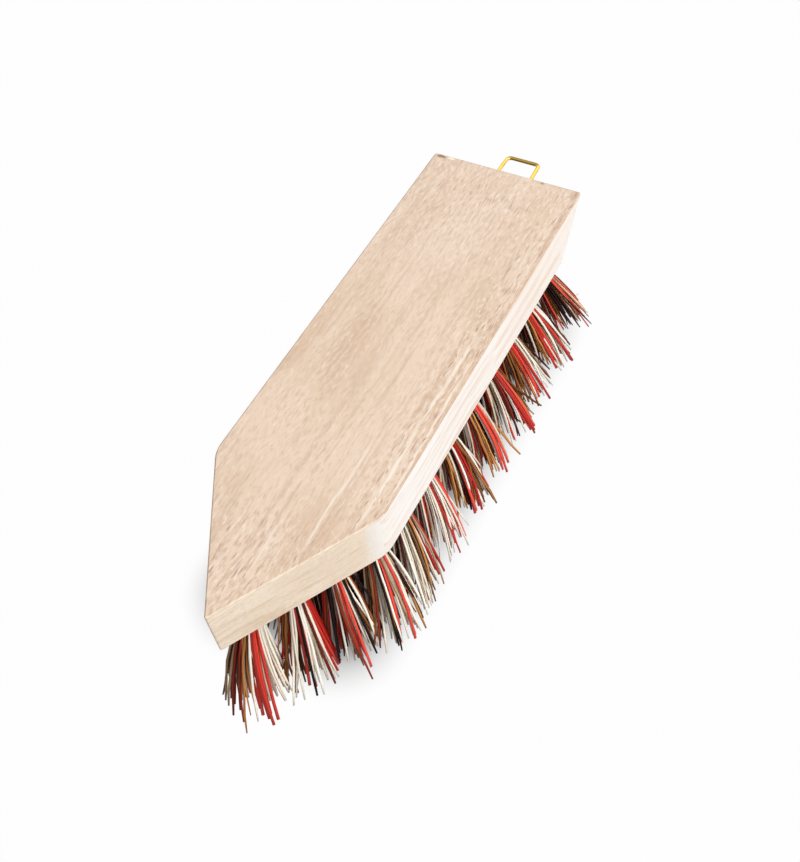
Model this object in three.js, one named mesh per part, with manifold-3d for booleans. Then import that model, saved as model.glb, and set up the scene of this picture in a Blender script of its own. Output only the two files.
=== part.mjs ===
// Shoe brush: a pointed beech block, flared fibre tufts set in drilled holes, and a wire loop to hang it by.
// Millimetres. +X runs towards the point, +Z is up, and the brush stands on its bristle ends at z = 0.

import * as THREE from 'three';
import { mergeVertices } from 'three/addons/utils/BufferGeometryUtils.js';
import Module from 'manifold-3d';

const wasm = await Module();
wasm.setup();

// Block
const BLOCK_LENGTH = 171;
const BLOCK_WIDTH = 50;
const BLOCK_HEIGHT = 17.5;
const POINT_LENGTH = 42;
const BACK_UNDERCUT = 13.5;
const SHOULDER_RADIUS = 9;
const POINT_RADIUS = 1;
const BACK_CORNER_RADIUS = 0.8;
const EDGE_EASING = 0.6;

// Tuft holes: how far they lie in from the block's underside edges, and how they are drilled
const EDGE_INSET = 7;
const BACK_INSET = 5.5;
const TUFT_PITCH = 13.5;
const HOLE_DIAMETER = 6;
const HOLE_DEPTH = 11;

// Tufts: they part into locks with furrows between, and fan out from the middle of the block to these
// angles, in degrees
const BRISTLE_LENGTH = 28;
const TUFT_END_DIAMETER = 13;
const LOCKS = 8;
const FURROW_DEPTH = 1.8;
const FRONT_FAN = 22;
const BACK_FAN = 17;
const SIDE_FAN = 21;

// Hanging loop: bent wire with its two legs driven into the slanted back end
const WIRE_DIAMETER = 1.2;
const LOOP_WIDTH = 12;
const LOOP_TAPER = 1;
const LOOP_REACH = 17.7;
const LOOP_DROP = 6;
const LOOP_BEND_RADIUS = 1.5;
const LEG_EMBED = 12;

// Clearance between a piece and the hole it sits in
const SEAT_GAP = 0.3;

// Facets
const ROUND_SIDES = 12;
const WIRE_SIDES = 10;
const WIRE_STEP = 1.1;
const CORNER_SEGMENTS = 5;
const EASING_SEGMENTS = 2;
const WELD = 1e-4;

// Levels and places that follow from the sizes above
const UNDERSIDE = BRISTLE_LENGTH;
const TOP = UNDERSIDE + BLOCK_HEIGHT;
const HALF_WIDTH = BLOCK_WIDTH / 2;
const SHOULDER_X = BLOCK_LENGTH - POINT_LENGTH;
const LOOP_LEVEL = TOP - LOOP_DROP;
const LOOP_FACE_X = LOOP_DROP * BACK_UNDERCUT / BLOCK_HEIGHT;
const LEG_END_X = LOOP_FACE_X + LEG_EMBED;
const OUTER_ROW_Y = HALF_WIDTH - EDGE_INSET;
const INNER_ROW_Y = OUTER_ROW_Y / 3;
const POINT_SLOPE = HALF_WIDTH / POINT_LENGTH;
const TIP_TUFT_X = BLOCK_LENGTH - EDGE_INSET / Math.sin(Math.atan(POINT_SLOPE));
const BACK_TUFT_X = BACK_UNDERCUT + BACK_INSET;
const SHOULDER_TUFT_X = TIP_TUFT_X - OUTER_ROW_Y / POINT_SLOPE;
const FAN_MIDDLE_X = (BACK_TUFT_X + TIP_TUFT_X) / 2;
const FAN_HALF_RUN = (TIP_TUFT_X - BACK_TUFT_X) / 2;

// Finishes
const BEECH = { color: 0xe4cfbb, roughness: 0.75, metalness: 0 };
const FIBRE = { color: 0xa6543f, roughness: 0.7, metalness: 0 };
const BRASS = { color: 0xd2a63c, roughness: 0.3, metalness: 1 };

// A closed three.js geometry as a solid that can be joined and cut
function solidOf(geometry) {
  const bare = geometry.clone();
  bare.deleteAttribute('normal');
  bare.deleteAttribute('uv');
  const welded = mergeVertices(bare, WELD);
  const corners = welded.index.array;
  const triangles = [];
  for (let i = 0; i < corners.length; i += 3) {
    const [a, b, c] = corners.slice(i, i + 3);
    if (a !== b && b !== c && c !== a) triangles.push(a, b, c);
  }
  return new wasm.Manifold(new wasm.Mesh({
    numProp: 3,
    vertProperties: welded.attributes.position.array,
    triVerts: new Uint32Array(triangles),
  }));
}

// A solid back as a three.js geometry
function geometryOf(solid) {
  const { vertProperties, triVerts } = solid.getMesh();
  const geometry = new THREE.BufferGeometry();
  geometry.setAttribute('position', new THREE.BufferAttribute(vertProperties, 3));
  geometry.setIndex(new THREE.BufferAttribute(triVerts, 1));
  geometry.computeVertexNormals();
  return geometry;
}

// A named piece with its own material
function piece(name, geometry, finish) {
  const mesh = new THREE.Mesh(geometry, new THREE.MeshStandardMaterial(finish));
  mesh.name = name;
  return mesh;
}

// A closed outline through convex corners [x, y, radius], taken anticlockwise, each rounded by an arc
function roundedOutline(corners) {
  const shape = new THREE.Shape();
  const points = corners.map(([x, y]) => new THREE.Vector2(x, y));
  corners.forEach(([, , radius], i) => {
    const corner = points[i];
    const arriving = corner.clone().sub(points.at(i - 1)).normalize();
    const leaving = points[(i + 1) % points.length].clone().sub(corner).normalize();
    const halfAngle = Math.acos(-arriving.dot(leaving)) / 2;
    const inward = leaving.clone().sub(arriving).setLength(radius / Math.sin(halfAngle));
    const centre = corner.clone().add(inward);
    const from = Math.atan2(-arriving.x, arriving.y);
    const to = Math.atan2(-leaving.x, leaving.y);
    shape.absarc(centre.x, centre.y, radius, from, to, false);
  });
  shape.closePath();
  return shape;
}

// The pointed board before its back end is slanted and its holes are drilled
function board() {
  const outline = roundedOutline([
    [0, -HALF_WIDTH, BACK_CORNER_RADIUS],
    [SHOULDER_X, -HALF_WIDTH, SHOULDER_RADIUS],
    [BLOCK_LENGTH, 0, POINT_RADIUS],
    [SHOULDER_X, HALF_WIDTH, SHOULDER_RADIUS],
    [0, HALF_WIDTH, BACK_CORNER_RADIUS],
  ]);
  const geometry = new THREE.ExtrudeGeometry(outline, {
    depth: BLOCK_HEIGHT - 2 * EDGE_EASING,
    bevelThickness: EDGE_EASING,
    bevelSize: EDGE_EASING,
    bevelOffset: -EDGE_EASING,
    bevelSegments: EASING_SEGMENTS,
    curveSegments: CORNER_SEGMENTS,
  });
  geometry.translate(0, 0, UNDERSIDE + EDGE_EASING);
  return solidOf(geometry);
}

// The waste that is sawn off the back end, so that the top overhangs the underside
function backWaste() {
  const side = new THREE.Shape([
    new THREE.Vector2(-BACK_UNDERCUT, TOP + BLOCK_HEIGHT),
    new THREE.Vector2(-BACK_UNDERCUT, UNDERSIDE - BLOCK_HEIGHT),
    new THREE.Vector2(2 * BACK_UNDERCUT, UNDERSIDE - BLOCK_HEIGHT),
  ]);
  const geometry = new THREE.ExtrudeGeometry(side, { depth: 2 * BLOCK_WIDTH, bevelEnabled: false });
  geometry.rotateX(Math.PI / 2);
  geometry.translate(0, BLOCK_WIDTH, 0);
  return solidOf(geometry);
}

// A drilled hole for one leg of the hanging loop
function legHole(y) {
  const radius = WIRE_DIAMETER / 2 + SEAT_GAP;
  const length = LEG_END_X + SEAT_GAP;
  const geometry = new THREE.CylinderGeometry(radius, radius, length, WIRE_SIDES);
  geometry.rotateZ(Math.PI / 2);
  geometry.translate(length / 2, y, LOOP_LEVEL);
  return solidOf(geometry);
}

// A turned shape along +Y, such as a tuft hole or tuft, set in a direction that fans out with its place:
// evenly along the brush, and sideways soonest near the middle line
function alongTuft(geometry, { x, y }) {
  const fan = x < FAN_MIDDLE_X ? BACK_FAN : FRONT_FAN;
  const lengthwise = THREE.MathUtils.degToRad(fan * (x - FAN_MIDDLE_X) / FAN_HALF_RUN);
  const outward = Math.sign(y) * Math.sqrt(Math.abs(y) / OUTER_ROW_Y);
  const sideways = THREE.MathUtils.degToRad(SIDE_FAN * outward);
  const direction = new THREE.Vector3(Math.tan(lengthwise), Math.tan(sideways), -1).normalize();
  const downwards = new THREE.Vector3(0, 0, -1);
  geometry.rotateX(-Math.PI / 2);
  geometry.applyQuaternion(new THREE.Quaternion().setFromUnitVectors(downwards, direction));
  geometry.translate(x, y, UNDERSIDE);
  return solidOf(geometry);
}

// One blind hole for a tuft, which breaks out through the underside
function tuftHole(place) {
  const radius = HOLE_DIAMETER / 2;
  const profile = [
    new THREE.Vector2(0, -HOLE_DEPTH),
    new THREE.Vector2(radius, -HOLE_DEPTH),
    new THREE.Vector2(radius, HOLE_DIAMETER),
    new THREE.Vector2(0, HOLE_DIAMETER),
  ];
  return alongTuft(new THREE.LatheGeometry(profile, ROUND_SIDES), place);
}

// The turned profile of a tuft with every second column drawn in beyond the wood, so that furrows part it
// into locks and deepen towards its end
function furrowedLathe(profile) {
  const geometry = new THREE.LatheGeometry(profile, 2 * LOCKS);
  const { position } = geometry.attributes;
  for (let i = 0; i < position.count; i++) {
    const { x: radius, y: length } = profile[i % profile.length];
    const column = Math.floor(i / profile.length);
    if (column % 2 === 0 || radius === 0 || length <= 0) continue;
    const drawnIn = 1 - FURROW_DEPTH * length / BRISTLE_LENGTH / radius;
    position.setX(i, position.getX(i) * drawnIn);
    position.setZ(i, position.getZ(i) * drawnIn);
  }
  return geometry;
}

// One tuft: a root that fills its hole, and a bundle that opens out and is trimmed level at z = 0
function tuft(place, trim) {
  const rootRadius = HOLE_DIAMETER / 2 - SEAT_GAP;
  const endRadius = TUFT_END_DIAMETER / 2;
  const untrimmed = 2 * BRISTLE_LENGTH;
  const untrimmedRadius = 2 * endRadius - rootRadius;
  const profile = [
    new THREE.Vector2(0, SEAT_GAP - HOLE_DEPTH),
    new THREE.Vector2(rootRadius, SEAT_GAP - HOLE_DEPTH),
    new THREE.Vector2(rootRadius, 0),
    new THREE.Vector2(untrimmedRadius, untrimmed),
    new THREE.Vector2(0, untrimmed),
  ];
  return geometryOf(alongTuft(furrowedLathe(profile), place).intersect(trim));
}

// Everything above the level that the bristles are trimmed to
function trimSpace() {
  const geometry = new THREE.BoxGeometry(2 * BLOCK_LENGTH, 2 * BLOCK_WIDTH, TOP);
  geometry.translate(BLOCK_LENGTH / 2, 0, TOP / 2);
  return solidOf(geometry);
}

// The wire loop: out of the wood along one leg, across, and back in along the other
function hangingLoop() {
  const endX = LOOP_FACE_X - LOOP_REACH;
  const footY = LOOP_WIDTH / 2;
  const endY = footY - LOOP_TAPER / 2;
  const at = (x, y) => new THREE.Vector3(x, y, LOOP_LEVEL);
  const path = new THREE.CurvePath();
  path.add(new THREE.LineCurve3(at(LEG_END_X, -footY), at(LOOP_FACE_X, -footY)));
  path.add(new THREE.LineCurve3(at(LOOP_FACE_X, -footY), at(endX + LOOP_BEND_RADIUS, -endY)));
  path.add(new THREE.QuadraticBezierCurve3(
    at(endX + LOOP_BEND_RADIUS, -endY), at(endX, -endY), at(endX, LOOP_BEND_RADIUS - endY)));
  path.add(new THREE.LineCurve3(at(endX, LOOP_BEND_RADIUS - endY), at(endX, endY - LOOP_BEND_RADIUS)));
  path.add(new THREE.QuadraticBezierCurve3(
    at(endX, endY - LOOP_BEND_RADIUS), at(endX, endY), at(endX + LOOP_BEND_RADIUS, endY)));
  path.add(new THREE.LineCurve3(at(endX + LOOP_BEND_RADIUS, endY), at(LOOP_FACE_X, footY)));
  path.add(new THREE.LineCurve3(at(LOOP_FACE_X, footY), at(LEG_END_X, footY)));
  const section = new THREE.Shape();
  section.absarc(0, 0, WIRE_DIAMETER / 2, 0, 2 * Math.PI);
  return new THREE.ExtrudeGeometry(section, {
    extrudePath: path,
    steps: Math.round(path.getLength() / WIRE_STEP),
    curveSegments: WIRE_SIDES / 2,
  });
}

// Where the tufts stand: rows along both long sides and both slanted sides, one at the point,
// and staggered rows between them
function tuftPlaces() {
  const places = [];
  const intervals = Math.round((SHOULDER_TUFT_X - BACK_TUFT_X) / TUFT_PITCH);
  const step = (SHOULDER_TUFT_X - BACK_TUFT_X) / intervals;
  const slant = Math.hypot(TIP_TUFT_X - SHOULDER_TUFT_X, OUTER_ROW_Y);
  const slantIntervals = Math.ceil(slant / TUFT_PITCH);
  for (const [side, sign] of [['left', 1], ['right', -1]]) {
    for (let i = 0; i <= intervals; i++) {
      places.push({ name: `tuft_${side}_${i + 1}`, x: BACK_TUFT_X + i * step, y: sign * OUTER_ROW_Y });
    }
    for (let i = 0; i < intervals; i++) {
      const x = BACK_TUFT_X + (i + 0.5) * step;
      places.push({ name: `tuft_inner_${side}_${i + 1}`, x, y: sign * INNER_ROW_Y });
    }
    for (let i = 1; i < slantIntervals; i++) {
      const along = i / slantIntervals;
      const x = THREE.MathUtils.lerp(SHOULDER_TUFT_X, TIP_TUFT_X, along);
      places.push({ name: `tuft_front_${side}_${i}`, x, y: sign * OUTER_ROW_Y * (1 - along) });
    }
  }
  places.push({ name: 'tuft_centre', x: BACK_TUFT_X + (intervals + 0.5) * step, y: 0 });
  places.push({ name: 'tuft_tip', x: TIP_TUFT_X, y: 0 });
  return places;
}

// The block with its slanted back end, its tuft holes and the two holes for the hanging loop
function block(places) {
  let solid = board().subtract(backWaste());
  for (const place of places) solid = solid.subtract(tuftHole(place));
  for (const y of [-LOOP_WIDTH / 2, LOOP_WIDTH / 2]) solid = solid.subtract(legHole(y));
  return geometryOf(solid);
}

const brush = new THREE.Group();
const places = tuftPlaces();
const trim = trimSpace();
brush.add(piece('beech_block', block(places), BEECH));
brush.add(piece('hanging_loop', hangingLoop(), BRASS));
for (const place of places) brush.add(piece(place.name, tuft(place, trim), FIBRE));

// The origin lies under the middle of the whole brush, on the level of the bristle ends
const extent = new THREE.Box3().setFromObject(brush);
brush.position.x = -(extent.min.x + extent.max.x) / 2;

export default brush;
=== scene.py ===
"""Shoe brush: a pointed beech block, tufts of mixed fibre in drilled holes, and a wire loop to hang it by.

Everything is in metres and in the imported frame: +X runs towards the point, +Y towards the long side that
the camera sees, +Z is up, and the bristle ends stand on the floor at z = 0.
"""

import cmath
import logging
import math
from collections.abc import Sequence
from dataclasses import dataclass
from enum import Enum
from functools import reduce
from random import Random
from typing import NamedTuple

import bmesh
import bpy
import numpy as np
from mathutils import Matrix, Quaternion, Vector


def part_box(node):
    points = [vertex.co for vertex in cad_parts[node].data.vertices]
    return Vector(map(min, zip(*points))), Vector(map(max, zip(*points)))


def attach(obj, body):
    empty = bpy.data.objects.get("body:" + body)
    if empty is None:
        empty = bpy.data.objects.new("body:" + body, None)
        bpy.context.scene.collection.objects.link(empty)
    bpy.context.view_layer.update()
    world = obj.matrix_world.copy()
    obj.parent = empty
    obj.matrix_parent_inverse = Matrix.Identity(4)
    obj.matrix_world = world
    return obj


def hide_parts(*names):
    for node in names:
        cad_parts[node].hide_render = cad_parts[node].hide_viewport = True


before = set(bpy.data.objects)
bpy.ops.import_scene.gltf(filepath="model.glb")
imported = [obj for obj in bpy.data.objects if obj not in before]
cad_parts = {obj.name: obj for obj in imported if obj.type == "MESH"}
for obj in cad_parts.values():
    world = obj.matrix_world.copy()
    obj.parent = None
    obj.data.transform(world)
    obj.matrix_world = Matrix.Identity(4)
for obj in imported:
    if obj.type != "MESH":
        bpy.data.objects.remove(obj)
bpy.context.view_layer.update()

LOG = logging.getLogger("shoe_brush")
BODY = "root"
BAKE_MAP = "OFBake"
SEED = 14
MM = 0.001
FLECK_RIM = (0.36, 0.08)
FLECK_ONSET = 0.25

Span = tuple[float, float]
Size = tuple[float, float, float]
Colour = tuple[float, float, float, float]
Socket = bpy.types.NodeSocket


def tint(code: str) -> Colour:
    """Turn a written colour into the linear values that shaders take.

    Args:
        code: Six hexadecimal digits, as on a screen.

    Returns:
        Linear red, green, blue and an alpha of 1.
    """
    levels = [int(code[i : i + 2], 16) / 255 for i in (0, 2, 4)]
    linear = [x / 12.92 if x <= 0.04045 else ((x + 0.055) / 1.055) ** 2.4 for x in levels]
    return (*linear, 1.0)


class NodeSheet:
    """A node tree of a material or a world, with short calls that add and link nodes."""

    def __init__(self, owner: bpy.types.Material | bpy.types.World) -> None:
        """Take over the owner's tree and empty it.

        Args:
            owner: The material or the world.
        """
        owner.use_nodes = True
        self.owner = owner
        self.tree = owner.node_tree
        self.tree.nodes.clear()

    @classmethod
    def for_material(cls, name: str) -> "NodeSheet":
        """Start the tree of a new material."""
        return cls(bpy.data.materials.new(name))

    def node(self, kind: str, inputs: dict | None = None, **settings: object) -> bpy.types.Node:
        """Add one node.

        Args:
            kind: Blender's node type, without its ShaderNode prefix.
            inputs: What goes into its sockets: a number, a colour, or another node's output.
            settings: The node's own properties.

        Returns:
            The new node.
        """
        made = self.tree.nodes.new("ShaderNode" + kind)
        for key, value in settings.items():
            setattr(made, key, value)
        for key, value in (inputs or {}).items():
            if isinstance(value, Socket):
                self.tree.links.new(value, made.inputs[key])
            else:
                made.inputs[key].default_value = value
        return made

    def place(self, start: float = 0.0) -> Socket:
        """Give each point's place in millimetres, with X counted from a start in metres."""
        seen = self.node("TexCoord").outputs["Object"]
        return self.vector("MULTIPLY_ADD", seen, (1 / MM,) * 3, (-start / MM, 0.0, 0.0))

    def looked_at(self) -> Socket:
        """Tell the rays that show a surface from those that only light it.

        Returns:
            1 for what is seen straight, mirrored or through glass, and 0 for the others.
        """
        path = self.node("LightPath").outputs
        mirrored = self.math("MAXIMUM", path["Is Glossy Ray"], path["Is Transmission Ray"])
        return self.math("MAXIMUM", path["Is Camera Ray"], mirrored)

    def attribute(self, name: str, output: str = "Fac") -> Socket:
        """Read a value that the mesh carries."""
        return self.node("Attribute", attribute_name=name).outputs[output]

    def math(self, operation: str, first: Socket | float, second: Socket | float = 0.0) -> Socket:
        """Combine two numbers by one of Blender's math operations."""
        return self.node("Math", {0: first, 1: second}, operation=operation).outputs[0]

    def product(self, *factors: Socket | float) -> Socket:
        """Multiply two or more numbers."""
        return reduce(lambda first, second: self.math("MULTIPLY", first, second), factors)

    def vector(self, operation: str, *values: Socket | Size) -> Socket:
        """Combine vectors by one of Blender's vector operations."""
        return self.node("VectorMath", dict(enumerate(values)), operation=operation).outputs[0]

    def length(self, vector: Socket) -> Socket:
        """Measure a vector."""
        return self.node("VectorMath", {0: vector}, operation="LENGTH").outputs["Value"]

    def band(self, value: Socket, low: float, high: float) -> Socket:
        """Rise smoothly from 0 where value is low to 1 where it is high; low may be the larger one."""
        inputs = {"Value": value, "From Min": low, "From Max": high}
        return self.node("MapRange", inputs, interpolation_type="SMOOTHSTEP").outputs[0]

    def level(self, value: Socket, low: float, high: float) -> Socket:
        """Spread a value from 0 to 1 over the range from low to high."""
        return self.node("MapRange", {"Value": value, "To Min": low, "To Max": high}).outputs[0]

    def scaled(self, place: Socket, size: Size, shift: float = 0.0) -> Socket:
        """Divide a place by a feature's size, so that the feature is about one unit long each way."""
        inputs = {"Vector": place, "Location": (shift,) * 3, "Scale": [1 / s for s in size]}
        return self.node("Mapping", inputs).outputs[0]

    def noise(self, place: Socket, size: Size, detail: float = 2.0, shift: float = 0.0) -> Socket:
        """Give soft noise with features of about this size."""
        inputs = {"Vector": self.scaled(place, size, shift), "Scale": 1.0, "Detail": detail}
        return self.node("TexNoise", inputs).outputs["Fac"]

    def flecks(self, place: Socket, size: Size, share: float, shift: float = 0.0) -> Socket:
        """Give separate lens-shaped flecks, 1 in the middle of each and 0 between them.

        Args:
            place: The place that the flecks lie in.
            size: The room that one fleck has each way.
            share: How many of the rooms hold a fleck.
            shift: Moves the flecks, so that two layers differ.

        Returns:
            The strength of the fleck at each point.
        """
        cell = self.node("TexVoronoi", {"Vector": self.scaled(place, size, shift), "Scale": 1.0})
        lens = self.band(cell.outputs["Distance"], *FLECK_RIM)
        pick = self.node("SeparateColor", {0: cell.outputs["Color"]}).outputs[0]
        return self.product(lens, self.band(pick, 1 - share, 1 - share + FLECK_ONSET))

    def mix(self, factor: Socket | float, first: Socket | Colour, second: Socket | Colour) -> Socket:
        """Blend two colours, from the first at 0 to the second at 1."""
        return self.node("Mix", {0: factor, 6: first, 7: second}, data_type="RGBA").outputs[2]

    def shaded(self, colour: Socket, value: Socket) -> Socket:
        """Make a colour darker or lighter by a value near 1."""
        return self.node("VectorMath", {0: colour, "Scale": value}, operation="SCALE").outputs[0]

    def bump(self, height: Socket, depth: float) -> Socket:
        """Turn a height from 0 to 1 into a relief of this depth."""
        return self.node("Bump", {"Height": height, "Distance": depth, "Strength": 1.0}).outputs[0]

    def surface(self, **inputs: object) -> bpy.types.Material:
        """Close the tree with a principled surface.

        Args:
            inputs: Its sockets, with underscores for spaces.

        Returns:
            The finished material.
        """
        named = {key.replace("_", " "): value for key, value in inputs.items()}
        shader = self.node("BsdfPrincipled", named)
        return self.close("OutputMaterial", shader.outputs[0])

    def close(self, kind: str, shader: Socket) -> bpy.types.Material | bpy.types.World:
        """Send a shader to the tree's output and give back the owner."""
        self.node(kind, {"Surface": shader})
        return self.owner


@dataclass(frozen=True)
class Zone:
    """A stretch of one axis, in millimetres, over which the wood's figure grows from none to a peak."""

    axis: str
    none: float
    full: float
    peak: float


@dataclass(frozen=True)
class Streak:
    """A long pale streak along the grain: its Y, half width and two ends in X, in millimetres."""

    middle: float
    half_width: float
    start: float
    end: float
    amount: float = 1.0
    fade: float = 9.0


@dataclass(frozen=True)
class Mark:
    """A mark on the wood: its middle and half sizes in X and Y, in millimetres, and how it shows."""

    middle: tuple[float, float]
    half: tuple[float, float]
    colour: str
    amount: float
    ragged: float = 0.5


class WoodSheet(NodeSheet):
    """The nodes of one cut through the wood; places are in millimetres, with X from the back edge."""

    SLOW_BEND = ((60, 26, 26), 4.0, 1.0)
    QUICK_BEND = ((5.5, 3.2, 3.2), 0.7, 1.0, 7.9)
    STREAK_BEND = ((16, 6, 6), 1.1, 4.0)
    STREAK_BREAKS = (9, 2, 2)
    STREAK_LEVELS = (-0.2, 1.7)
    STREAK_CORE = 0.3
    MARK_BREAKS = (1.6, 0.7, 0.7)
    MARK_RIM = (1.0, 0.45)

    def __init__(self, name: str, back: float) -> None:
        """Start a material.

        Args:
            name: Its name.
            back: The X of the block's back edge.
        """
        super().__init__(bpy.data.materials.new(name))
        self.still = self.place(back)
        self.axes = self.node("SeparateXYZ", {0: self.still}).outputs

    def sway(self, size: Size, amount: float, detail: float, shift: float = 0.0) -> Socket:
        """Give soft noise that swings by an amount to both sides of zero."""
        return self.level(self.noise(self.still, size, detail, shift), -amount, amount)

    def wandering(self) -> Socket:
        """Bend the place in the wood, so that the grain wanders.

        Returns:
            The bent place.
        """
        sway = self.math("ADD", self.sway(*self.SLOW_BEND), self.sway(*self.QUICK_BEND))
        bend = self.node("CombineXYZ", {"Y": sway, "Z": sway}).outputs[0]
        return self.vector("ADD", self.still, bend)

    def streaked(self, streak: Streak) -> Socket:
        """Say where a pale streak runs.

        Args:
            streak: The streak.

        Returns:
            1 along its middle, and 0 beyond its sides and its ends.
        """
        swayed = self.math("ADD", self.axes["Y"], self.sway(*self.STREAK_BEND, streak.start))
        offset = self.math("ABSOLUTE", self.math("SUBTRACT", swayed, streak.middle))
        across = self.band(offset, streak.half_width, self.STREAK_CORE * streak.half_width)
        begun = self.band(self.axes["X"], streak.start, streak.start + streak.fade)
        ended = self.band(self.axes["X"], streak.end, streak.end - streak.fade)
        broken = self.noise(self.still, self.STREAK_BREAKS, shift=streak.end)
        faint = self.level(broken, *(level * streak.amount for level in self.STREAK_LEVELS))
        return self.product(across, faint, begun, ended)

    def marked(self, mark: Mark) -> Socket:
        """Say where a small mark lies.

        Args:
            mark: The mark.

        Returns:
            The mark's strength in its middle, and 0 beyond its ragged rim.
        """
        offset = self.vector("SUBTRACT", self.still, (*mark.middle, 0.0))
        relative = self.vector("MULTIPLY", offset, (1 / mark.half[0], 1 / mark.half[1], 0.0))
        ragged = self.sway(self.MARK_BREAKS, mark.ragged, 3.0, mark.middle[1])
        rim = self.band(self.math("ADD", self.length(relative), ragged), *self.MARK_RIM)
        return self.product(rim, mark.amount)


class Palette(NamedTuple):
    """The wood's colours: its ground, soft patches of shade, growth lines, ray flecks and gleam."""

    ground: str
    shade: str
    line: str
    fleck: str
    gleam: str


@dataclass(frozen=True)
class BeechFinish:
    """Bare planed beech as one cut through the log shows it; sizes are in millimetres."""

    name: str
    palette: Palette
    patch_size: Size = (42, 10, 10)
    patch_band: Span = (0.36, 0.68)
    line_size: Size = (130, 1.5, 1.5)
    line_band: Span = (0.47, 0.72)
    line_amount: float = 0.5
    ripple_size: Size = (2.3, 0.8, 0.8)
    ripple_amount: float = 0.8
    ripple_least: float = 0.2
    dim_band: Span = (0.5, 0.28)
    gleam_band: Span = (0.52, 0.76)
    fleck_size: Size = (8.0, 0.85, 0.85)
    fleck_amount: float = 0.85
    small_fleck: float = 0.6
    stroke_size: Size = (12, 0.8, 0.8)
    stroke_amount: float = 0.65
    pore_size: Size = (1.3, 0.13, 0.13)
    pore_tone: Span = (0.93, 1.07)
    figure_size: Size = (26, 12, 12)
    calm: float = 0.36
    roughness: Span = (0.5, 0.78)
    gloss: float = 0.3
    relief: float = 0.03
    fleck_depth: float = 0.5
    zones: tuple[Zone, ...] = ()
    streaks: tuple[Streak, ...] = ()
    marks: tuple[Mark, ...] = ()

    def material(self, back: float) -> bpy.types.Material:
        """Make the wood's material.

        Args:
            back: The X of the block's back edge.

        Returns:
            The material, with growth lines, ray flecks, pores and soft patches of tone.
        """
        sheet = WoodSheet(self.name, back)
        ground, shade, line, fleck, gleam = map(tint, self.palette)
        place = sheet.wandering()
        figure = self.figure(sheet)
        patch = sheet.band(sheet.noise(place, self.patch_size, detail=3.0), *self.patch_band)
        colour = sheet.mix(patch, ground, shade)
        lines = sheet.band(sheet.noise(place, self.line_size, detail=4.0, shift=3.7), *self.line_band)
        colour = sheet.mix(sheet.product(lines, self.line_amount), colour, line)
        ripple = sheet.noise(place, self.ripple_size, shift=11.3)
        rippled = sheet.level(figure, self.ripple_least * self.ripple_amount, self.ripple_amount)
        colour = sheet.mix(sheet.product(sheet.band(ripple, *self.dim_band), rippled), colour, line)
        pale = sheet.product(sheet.band(ripple, *self.gleam_band), rippled)
        for streak in self.streaks:
            pale = sheet.math("MAXIMUM", pale, sheet.streaked(streak))
        colour = sheet.mix(pale, colour, gleam)
        dark = self.dark_flecks(sheet, place, figure)
        colour = sheet.mix(dark, colour, fleck)
        for mark in self.marks:
            colour = sheet.mix(sheet.marked(mark), colour, tint(mark.colour))
        pores = sheet.noise(place, self.pore_size)
        height = sheet.math("SUBTRACT", pores, sheet.product(dark, self.fleck_depth))
        return sheet.surface(
            Base_Color=sheet.shaded(colour, sheet.level(pores, *self.pore_tone)),
            Roughness=sheet.level(pores, *self.roughness),
            Specular_IOR_Level=self.gloss,
            Normal=sheet.bump(height, self.relief * MM),
        )

    def figure(self, sheet: WoodSheet) -> Socket:
        """Say how strongly the rays show.

        Args:
            sheet: The material's nodes.

        Returns:
            The calm level all over, rising to the zones' peaks.
        """
        soft = sheet.noise(sheet.still, self.figure_size, shift=2.3)
        strong = sheet.level(soft, self.calm - 0.5, self.calm + 0.5)
        for zone in self.zones:
            rise = sheet.product(sheet.band(sheet.axes[zone.axis], zone.none, zone.full), zone.peak)
            strong = sheet.math("MAXIMUM", strong, rise)
        return sheet.node("Clamp", {0: strong}).outputs[0]

    def dark_flecks(self, sheet: WoodSheet, place: Socket, figure: Socket) -> Socket:
        """Say where the dark flecks and the longer strokes lie.

        Args:
            sheet: The material's nodes.
            place: The bent place in the wood.
            figure: How strongly the rays show.

        Returns:
            The strength of the dark at each point.
        """
        large = sheet.flecks(place, self.fleck_size, share=0.55)
        small = sheet.flecks(place, [self.small_fleck * s for s in self.fleck_size], share=0.35, shift=5.1)
        both = sheet.product(sheet.math("MAXIMUM", large, small), self.fleck_amount)
        strokes = sheet.flecks(place, self.stroke_size, share=0.6, shift=8.8)
        strongest = sheet.math("MAXIMUM", both, sheet.product(strokes, self.stroke_amount))
        return sheet.product(strongest, sheet.math("POWER", figure, 2.0))


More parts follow.
